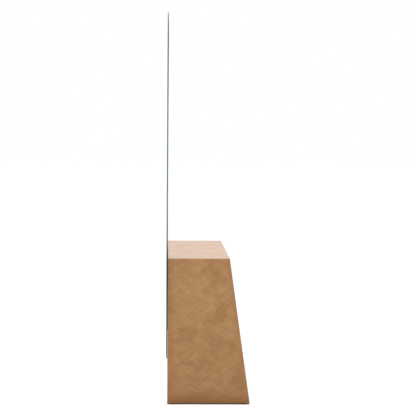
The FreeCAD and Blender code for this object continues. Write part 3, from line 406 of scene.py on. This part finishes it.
def wood_group():
    """Straight grain that runs along X of the vector: a slow figure, fine fibres and short dark pores."""
    group, ins, outs = new_group(
        "wood_grain", [("Grain", "NodeSocketVector", None)],
        [("Figure", "NodeSocketFloat"), ("Fibre", "NodeSocketFloat"), ("Pore", "NodeSocketFloat")])
    drift = noise(group, scaled(group, ins["Grain"], (0.5, 0.09, 0.09)), detail=2.0)
    across = add(group, "ShaderNodeSeparateXYZ", {0: ins["Grain"]}).outputs
    slant = maths(group, "ADD", across["Y"], maths(group, "MULTIPLY", across["Z"], 0.7))
    rings = maths(group, "MULTIPLY", slant, RING_RATE)
    rings = maths(group, "SINE", maths(group, "ADD", rings, maths(group, "MULTIPLY", drift, RING_DRIFT)))
    fibre = noise(group, scaled(group, ins["Grain"], (0.12, 0.0012, 0.0012)), detail=3.0, roughness=0.6)
    pore = noise(group, scaled(group, ins["Grain"], (0.012, 0.0005, 0.0005)), detail=1.0)
    group.links.new(maths(group, "ADD", maths(group, "MULTIPLY", rings, 0.5), 0.5), outs["Figure"])
    group.links.new(mapped(group, fibre, 0.3, 0.7), outs["Fibre"])
    group.links.new(mapped(group, pore, 0.60, 0.74), outs["Pore"])
    return group


wood_grain = wood_group()
GRAIN_ALONG = {"X": ("X", "Y", "Z"), "Y": ("Y", "X", "Z"), "Z": ("Z", "X", "Y")}


def wood(name, along, light, dark, pore_colour, roughness=0.5):
    """A wood whose grain runs along one axis of the object."""
    material, tree, shader = new_material(name)
    at = add(tree, "ShaderNodeSeparateXYZ", {0: add(tree, "ShaderNodeTexCoord").outputs["Object"]}).outputs
    order = {slot: at[axis] for slot, axis in zip("XYZ", GRAIN_ALONG[along])}
    grain = add(tree, "ShaderNodeGroup", node_tree=wood_grain)
    tree.links.new(add(tree, "ShaderNodeCombineXYZ", order).outputs[0], grain.inputs["Grain"])
    figure, fibre, pore = (grain.outputs[label] for label in ("Figure", "Fibre", "Pore"))
    tone = maths(tree, "ADD", maths(tree, "MULTIPLY", figure, 0.55), maths(tree, "MULTIPLY", fibre, 0.45))
    colour = mixed(tree, tone, light, dark)
    colour = mixed(tree, maths(tree, "MULTIPLY", pore, 0.6), colour, pore_colour)
    rough = mapped(tree, tone, 0.0, 1.0, roughness - 0.06, roughness + 0.08)
    relief = maths(tree, "SUBTRACT", maths(tree, "MULTIPLY", fibre, 0.4), pore)
    surface(tree, shader, colour, rough, relief, depth=0.0003, strength=0.25)
    return material


PALE_WOOD = (0.50, 0.34, 0.19, 1), (0.36, 0.22, 0.11, 1), (0.22, 0.13, 0.06, 1)
dress(("top_core", "back_rail", "bay_floor"), wood("blockboard_lengthwise", "X", *PALE_WOOD))
dress(("left_end_core", "right_end_core"), wood("blockboard_upright", "Z", *PALE_WOOD))
dress(("centre_divider",), wood("blockboard_divider", "Y", *PALE_WOOD))
BEECH = (0.56, 0.36, 0.20, 1), (0.44, 0.27, 0.14, 1), (0.30, 0.17, 0.08, 1)
dress(("dowels",), wood("beech", "Z", *BEECH, roughness=0.6))

# ---------------------------------------------------------------- brackets and screws
# Pressed steel angles tie the end panels to the top and the rail. They and their pan-head screws are
# zinc plated: a pale grey with a soft mottle and faint lines from the rolling.


def zinc_steel(name, tint, roughness):
    """Plated steel: a soft mottle over faint lines that run front to back."""
    material, tree, shader = new_material(name)
    place = add(tree, "ShaderNodeTexCoord").outputs["Object"]
    plating = mottle(tree, place, 0.006, detail=4.0, roughness=0.65)
    rolled = noise(tree, scaled(tree, place, (0.0012, 0.06, 0.0012)))
    dark = tuple(part * 0.72 for part in tint[:3]) + (1,)
    tone = maths(tree, "ADD", maths(tree, "MULTIPLY", plating, 0.6), maths(tree, "MULTIPLY", rolled, 0.4))
    colour = mixed(tree, mapped(tree, tone, 0.35, 0.65), dark, tint)
    rough = mapped(tree, tone, 0.3, 0.7, roughness + 0.08, roughness - 0.06)
    surface(tree, shader, colour, rough, rolled, depth=0.0002, strength=0.1)
    shader.inputs["Metallic"].default_value = 1.0
    return material


zinc = zinc_steel("zinc_steel", (0.62, 0.63, 0.64, 1), 0.34)
screw_zinc = zinc_steel("screw_zinc", (0.55, 0.56, 0.57, 1), 0.28)
dress(("corner_brackets",), zinc)
dress(("bracket_screws", "floor_screws", "glide_screws"), screw_zinc)

# ---------------------------------------------------------------- glides
# Four round glides of moulded dark nylon, slightly scuffed. Each is held by a screw up into the end
# panel's core and keeps the brass 4 mm off the floor.


def moulded(name, tint, roughness, speckle=0.0008):
    """Moulded nylon or rubber: paler where it is scuffed, with a fine grain."""
    material, tree, shader = new_material(name)
    place = add(tree, "ShaderNodeTexCoord").outputs["Object"]
    grain = mottle(tree, place, speckle)
    scuffs = mottle(tree, place, 0.02, detail=3.0)
    pale = tuple(part * 1.35 + 0.01 for part in tint[:3]) + (1,)
    colour = mixed(tree, mapped(tree, scuffs, 0.4, 0.75), tint, pale)
    rough = mapped(tree, grain, 0.3, 0.7, roughness - 0.06, roughness + 0.08)
    surface(tree, shader, colour, rough, grain, depth=0.0001, strength=0.2)
    return material


dress(("glides",), moulded("dark_nylon", (0.045, 0.040, 0.036, 1), 0.45))

# ---------------------------------------------------------------- mirror glass
# A round sheet of 6 mm float glass, silvered and painted on its back. Its edge is ground and polished,
# so it shows the glass's own dark green. Six holes are drilled and countersunk from the back.

RIM_STEPS = 360
HOLE_STEPS = 32
ARRIS = 0.0008
BUSH_ROOM = 0.0002
SLICE = 0.001


def loose_pieces(name):
    """The points of each separate solid in a CAD node, from left to right and then upwards."""
    shape = bmesh.new()
    shape.from_mesh(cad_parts[name].data)
    bmesh.ops.remove_doubles(shape, verts=shape.verts, dist=1e-6)
    left = dict.fromkeys(shape.verts)
    found = []
    while left:
        todo = [next(iter(left))]
        del left[todo[0]]
        points = []
        while todo:
            vert = todo.pop()
            points.append(vert.co.copy())
            for edge in vert.link_edges:
                other = edge.other_vert(vert)
                if other in left:
                    del left[other]
                    todo.append(other)
        found.append(points)
    shape.free()
    return sorted(found, key=lambda points: (round(middle_of(points).x, 3), middle_of(points).z))


def middle_of(points):
    """The middle of the box round some points."""
    low = Vector(min(point[axis] for point in points) for axis in range(3))
    high = Vector(max(point[axis] for point in points) for axis in range(3))
    return (low + high) / 2


def widest(points, low, high):
    """How far the points between two depths reach from the middle line of them all."""
    middle = middle_of(points)
    inside = [point for point in points if low <= point.y <= high]
    return max(math.hypot(point.x - middle.x, point.z - middle.z) for point in inside)


def ring(shape, radius, x, depth, z, steps):
    """A circle of edges that stands upright and faces the front."""
    place = Matrix.Translation((x, depth, z)) @ Matrix.Rotation(math.radians(90), 4, "X")
    made = bmesh.ops.create_circle(shape, cap_ends=False, radius=radius, segments=steps, matrix=place)
    return list(dict.fromkeys(edge for vert in made["verts"] for edge in vert.link_edges))


def wall(shape, rings):
    """Joins each circle to the next one."""
    for first, second in zip(rings, rings[1:]):
        bmesh.ops.bridge_loops(shape, edges=first + second)


def cap(shape, *rings):
    """Fills what is inside the first circle and outside the others."""
    edges = [edge for circle in rings for edge in circle]
    bmesh.ops.triangle_fill(shape, use_beauty=True, use_dissolve=False, edges=edges)


def finished(shape, name, body, *materials):
    """Turns a bmesh into an object that rides on a body."""
    bmesh.ops.recalc_face_normals(shape, faces=shape.faces)
    mesh = bpy.data.meshes.new(name)
    shape.to_mesh(mesh)
    shape.free()
    for material in materials:
        mesh.materials.append(material)
    made = bpy.data.objects.new(name, mesh)
    bpy.context.scene.collection.objects.link(made)
    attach(made, body)
    return made


SILVER = (0.80, 0.85, 0.82, 1), (0.83, 0.875, 0.85, 1)
EDGE_GREEN = (0.066, 0.184, 0.110, 1), (0.130, 0.268, 0.182, 1)
EDGE_PAINTED_SHADE_TOP = (0.001, 0.030, 0.008, 1)
EDGE_PAINTED_TABLE_REFLECTION = (0.008, 0.062, 0.024, 1)
EDGE_PAINTED_SHADE_FLOOR = (0.006, 0.022, 0.010, 1)
GREY_PAINT = (0.16, 0.18, 0.18, 1), (0.21, 0.23, 0.23, 1)


def silvering():
    """A mirror with the faint green of the glass before it, and a little dust."""
    material, tree, shader = new_material("silvered_glass")
    place = add(tree, "ShaderNodeTexCoord").outputs["Object"]
    colour = mixed(tree, mottle(tree, place, 0.5), *SILVER)
    dust = mottle(tree, place, 0.05, detail=5.0, roughness=0.7)
    surface(tree, shader, colour, mapped(tree, dust, 0.6, 0.9, 0.0, 0.03))
    shader.inputs["Metallic"].default_value = 1.0
    return material


def glass_edge():
    """Dark green, with painted shade at both ends and a painted reflection of the table beside it."""
    material, tree, shader = new_material("polished_glass_edge")
    place = add(tree, "ShaderNodeTexCoord").outputs["Object"]
    height = add(tree, "ShaderNodeSeparateXYZ", {0: place}).outputs["Z"]
    streak = noise(tree, scaled(tree, place, (0.03, 0.0006, 0.03)), detail=3.0)
    colour = mixed(tree, mapped(tree, streak, 0.35, 0.8), *EDGE_GREEN)
    # Painted shade: the edge turns almost black towards the top of the disc.
    painted_shade_top = mapped(tree, height, glass_middle.z + 0.20, glass_high.z - 0.25, 0.0, 0.9)
    colour = mixed(tree, painted_shade_top, colour, EDGE_PAINTED_SHADE_TOP)
    # Painted reflection: the edge is darker at the height of the table beside it.
    from_table = maths(tree, "ABSOLUTE", maths(tree, "SUBTRACT", height, top_high.z - 0.03))
    painted_table_reflection = mapped(tree, from_table, 0.30, 0.04, 0.0, 0.95)
    colour = mixed(tree, painted_table_reflection, colour, EDGE_PAINTED_TABLE_REFLECTION)
    # Painted shade: the edge turns almost black towards the bottom of the disc.
    painted_shade_floor = mapped(tree, height, glass_low.z + 0.14, glass_low.z + 0.02, 0.0, 0.9)
    colour = mixed(tree, painted_shade_floor, colour, EDGE_PAINTED_SHADE_FLOOR)
    surface(tree, shader, colour, mapped(tree, streak, 0.3, 0.7, 0.12, 0.22))
    shader.inputs["IOR"].default_value = 1.52
    shader.inputs["Specular IOR Level"].default_value = 0.15
    return material


def backing_paint():
    """The paint over the silvering, seen only where the film stops short of the rim."""
    material, tree, shader = new_material("backing_paint")
    sprayed = mottle(tree, add(tree, "ShaderNodeTexCoord").outputs["Object"], 0.004, detail=3.0)
    surface(tree, shader, mixed(tree, sprayed, *GREY_PAINT), mapped(tree, sprayed, 0.3, 0.7, 0.45, 0.6))
    return material


glass_radius = (glass_high.z - glass_low.z) / 2
bushes = loose_pieces("mirror_bushes")


def mirror_glass():
    """The sheet, whose front shows the silver, its back the paint, and its rim and holes the bare glass."""
    shape = bmesh.new()
    rim = [ring(shape, radius, 0, depth, glass_middle.z, RIM_STEPS) for radius, depth in (
        (glass_radius - ARRIS, glass_low.y), (glass_radius, glass_low.y + ARRIS),
        (glass_radius, glass_high.y - ARRIS), (glass_radius - ARRIS, glass_high.y))]
    wall(shape, rim)
    fronts, backs = [], []
    for points in bushes:
        middle = middle_of(points)
        bore = widest(points, glass_low.y - SLICE, glass_low.y + SLICE) + BUSH_ROOM
        sink = widest(points, glass_high.y - SLICE / 2, glass_high.y + SLICE / 2) + BUSH_ROOM
        hole = [ring(shape, radius, middle.x, depth, middle.z, HOLE_STEPS) for radius, depth in (
            (bore, glass_low.y), (bore, glass_high.y - (sink - bore)), (sink, glass_high.y))]
        wall(shape, hole)
        fronts.append(hole[0])
        backs.append(hole[-1])
    cap(shape, rim[0], *fronts)
    cap(shape, rim[-1], *backs)
    bmesh.ops.recalc_face_normals(shape, faces=shape.faces)
    for face in shape.faces:
        face.smooth = abs(face.normal.y) < 0.5
        face.material_index = 1
        if face.normal.y < -0.99:
            face.material_index = 0
        if face.normal.y > 0.99:
            face.material_index = 2
    glass = finished(shape, "silvered_disc", "root", silvering(), glass_edge(), backing_paint())
    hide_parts("mirror_glass")


mirror_glass()

# ---------------------------------------------------------------- safety film
# A matt woven film stuck to the back of the silvering, so that the glass holds together if it breaks.
# It comes on a narrow roll, so it is laid in three upright strips with a fine gap at each seam.

FILM_GAP = 0.0012
FILM_SEAM = 0.31
FILM_ROOM = 0.0005
WEAVE_PITCH = 0.003
FILM_GREY = (0.30, 0.315, 0.31, 1), (0.35, 0.365, 0.36, 1)


def woven_film():
    """Matt film with a square weave pressed into it, a few soft clouds and small upright creases."""
    material, tree, shader = new_material("safety_film")
    place = add(tree, "ShaderNodeTexCoord").outputs["Object"]
    at = add(tree, "ShaderNodeSeparateXYZ", {0: place}).outputs
    rate = 2 * math.pi / WEAVE_PITCH
    threads = [maths(tree, "SINE", maths(tree, "MULTIPLY", at[axis], rate)) for axis in "XZ"]
    weave = maths(tree, "MULTIPLY", *threads)
    soft = mottle(tree, place, 0.25)
    crease = noise(tree, scaled(tree, place, (0.012, 0.012, 0.05)), detail=3.0, roughness=0.6)
    tone = maths(tree, "ADD", maths(tree, "MULTIPLY", soft, 0.6), maths(tree, "MULTIPLY", crease, 0.4))
    tone = maths(tree, "ADD", tone, maths(tree, "MULTIPLY", weave, 0.05))
    colour = mixed(tree, mapped(tree, tone, 0.3, 0.7), *FILM_GREY)
    relief = maths(tree, "ADD", maths(tree, "MULTIPLY", weave, 0.25), crease)
    rough = mapped(tree, tone, 0.3, 0.7, 0.48, 0.58)
    surface(tree, shader, colour, rough, relief, depth=0.0003, strength=0.25)
    return material


def safety_film():
    """A disc with six holes, cut into three strips."""
    low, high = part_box("mirror_safety_film")
    shape = bmesh.new()
    faces = []
    for depth in (low.y, high.y):
        rim = ring(shape, (high.z - low.z) / 2, 0, depth, glass_middle.z, RIM_STEPS)
        holes = []
        for points in bushes:
            middle = middle_of(points)
            radius = widest(points, glass_low.y, glass_high.y) + FILM_ROOM
            holes.append(ring(shape, radius, middle.x, depth, middle.z, HOLE_STEPS))
        cap(shape, rim, *holes)
        faces.append([rim, *holes])
    for pair in zip(*faces):
        wall(shape, pair)
    for seam in (-FILM_SEAM, FILM_SEAM):
        for side in (-FILM_GAP / 2, FILM_GAP / 2):
            everything = list(shape.verts) + list(shape.edges) + list(shape.faces)
            bmesh.ops.bisect_plane(shape, geom=everything, plane_co=(seam + side, 0, 0), plane_no=(1, 0, 0))
    cut = [face for face in shape.faces if abs(abs(face.calc_center_median().x) - FILM_SEAM) < FILM_GAP / 2]
    bmesh.ops.delete(shape, geom=cut, context="FACES")
    bmesh.ops.holes_fill(shape, edges=[edge for edge in shape.edges if edge.is_boundary], sides=0)
    film = finished(shape, "safety_film_strips", "root", woven_film())
    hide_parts("mirror_safety_film")


safety_film()

# ---------------------------------------------------------------- mirror fixings
# Six countersunk machine screws with hexagon sockets go from the back through nylon bushes, which keep
# them off the glass, into turned brass inserts. Rubber strips lie between the glass and the table.

SOCKET = 0.0023
SOCKET_DEPTH = 0.003
POINT_CHAMFER = 0.0005
HEAD_CHAMFER = 0.0002


def countersunk_screws():
    """Turned screws, each made from its narrow end to its head and then its socket."""
    shape = bmesh.new()
    for points in loose_pieces("mirror_screws"):
        middle = middle_of(points)
        start = min(point.y for point in points)
        end = max(point.y for point in points)
        shank = widest(points, start, start + SLICE)
        head = widest(points, start, end)
        rings = [ring(shape, radius, middle.x, depth, middle.z, HOLE_STEPS) for radius, depth in (
            (shank - POINT_CHAMFER, start), (shank, start + POINT_CHAMFER), (shank, end - (head - shank)),
            (head, end - HEAD_CHAMFER), (head - HEAD_CHAMFER, end))]
        socket = [ring(shape, SOCKET, middle.x, depth, middle.z, 6) for depth in (end, end - SOCKET_DEPTH)]
        wall(shape, rings)
        wall(shape, socket)
        cap(shape, rings[0])
        cap(shape, rings[-1], socket[0])
        cap(shape, socket[-1])
    screws = finished(shape, "countersunk_screws", "root", screw_zinc)
    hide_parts("mirror_screws")


countersunk_screws()
dress(("mirror_cushions",), moulded("foam_rubber", (0.085, 0.110, 0.080, 1), 0.75, 0.0005))
dress(("mirror_bushes",), moulded("bush_nylon", (0.055, 0.050, 0.045, 1), 0.4))
dress(("mirror_inserts",), carcass_brass)

# ---------------------------------------------------------------- drawers
# Oiled walnut boxes of 12 mm boards behind the brass fronts, which are screwed on from inside. A suede
# lining is glued to each bottom, and the runner's inner members are screwed to the sides.

WALNUT = (0.20, 0.105, 0.055, 1), (0.085, 0.042, 0.022, 1), (0.035, 0.018, 0.010, 1)
walnut = {axis: wood(f"walnut_along_{axis.lower()}", axis, *WALNUT, roughness=0.38) for axis in "XY"}


SUEDE_BROWN = (0.075, 0.045, 0.030, 1), (0.115, 0.073, 0.050, 1)


def suede():
    """A fine nap that lies this way and that where a hand has swept it."""
    material, tree, shader = new_material("suede")
    place = add(tree, "ShaderNodeTexCoord").outputs["Object"]
    nap = mottle(tree, place, 0.0006, detail=3.0, roughness=0.7)
    swept = noise(tree, scaled(tree, place, (0.07, 0.05, 0.07)), detail=3.0)
    tone = maths(tree, "ADD", maths(tree, "MULTIPLY", nap, 0.45), maths(tree, "MULTIPLY", swept, 0.55))
    tree.links.new(mixed(tree, mapped(tree, tone, 0.35, 0.65), *SUEDE_BROWN), shader.inputs["Base Color"])
    shader.inputs["Roughness"].default_value = 0.95
    shader.inputs["Sheen Weight"].default_value = 0.15
    bump = add(tree, "ShaderNodeBump", {"Strength": 0.5, "Distance": 0.0004, "Height": nap})
    tree.links.new(bump.outputs["Normal"], shader.inputs["Normal"])
    return material


def eased_block(name, body, low, high, radius, material):
    """A block between two corners, with its edges eased."""
    shape = bmesh.new()
    bmesh.ops.create_cube(shape, size=1)
    bmesh.ops.scale(shape, verts=shape.verts, vec=high - low)
    bmesh.ops.translate(shape, verts=shape.verts, vec=(low + high) / 2)
    bmesh.ops.bevel(shape, geom=shape.edges[:], affect="EDGES", offset=radius, segments=2, profile=0.5,
                    material=-1)
    return finished(shape, name, body, material)


BOARD_EASING = 0.0008
LINING_EASING = 0.0007
suede_nap = suede()
for side in ("left", "right"):
    body = f"{side}_drawer"
    for board, along in (("left_side", "Y"), ("right_side", "Y"), ("box_front", "X"), ("box_back", "X")):
        node = f"{body}_{board}"
        eased = eased_block(f"{node}_board", body, *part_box(node), BOARD_EASING, walnut[along])
        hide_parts(node)
    dress((f"{body}_bottom", f"{body}_front_core"), walnut["X"])
    dress((f"{body}_front_screws",), screw_zinc)

    low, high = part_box(f"{body}_lining")
    lining = eased_block(f"{body}_suede", body, low, high, LINING_EASING, suede_nap)
    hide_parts(f"{body}_lining")

# ---------------------------------------------------------------- runners
# Telescopic runners of rolled steel: an outer member screwed to the carcass, a middle one, and an inner
# one on the drawer, with bearing balls in sheet cages between them.

ball_steel = zinc_steel("bearing_steel", (0.72, 0.72, 0.73, 1), 0.12)
for side in ("left", "right"):
    dress((f"{side}_runner_rails", f"{side}_runner_middles", f"{side}_runner_slides"), zinc)
    dress((f"{side}_rail_screws", f"{side}_slide_screws"), screw_zinc)
    dress((f"{side}_outer_ball_cages", f"{side}_inner_ball_cages"), ball_steel)
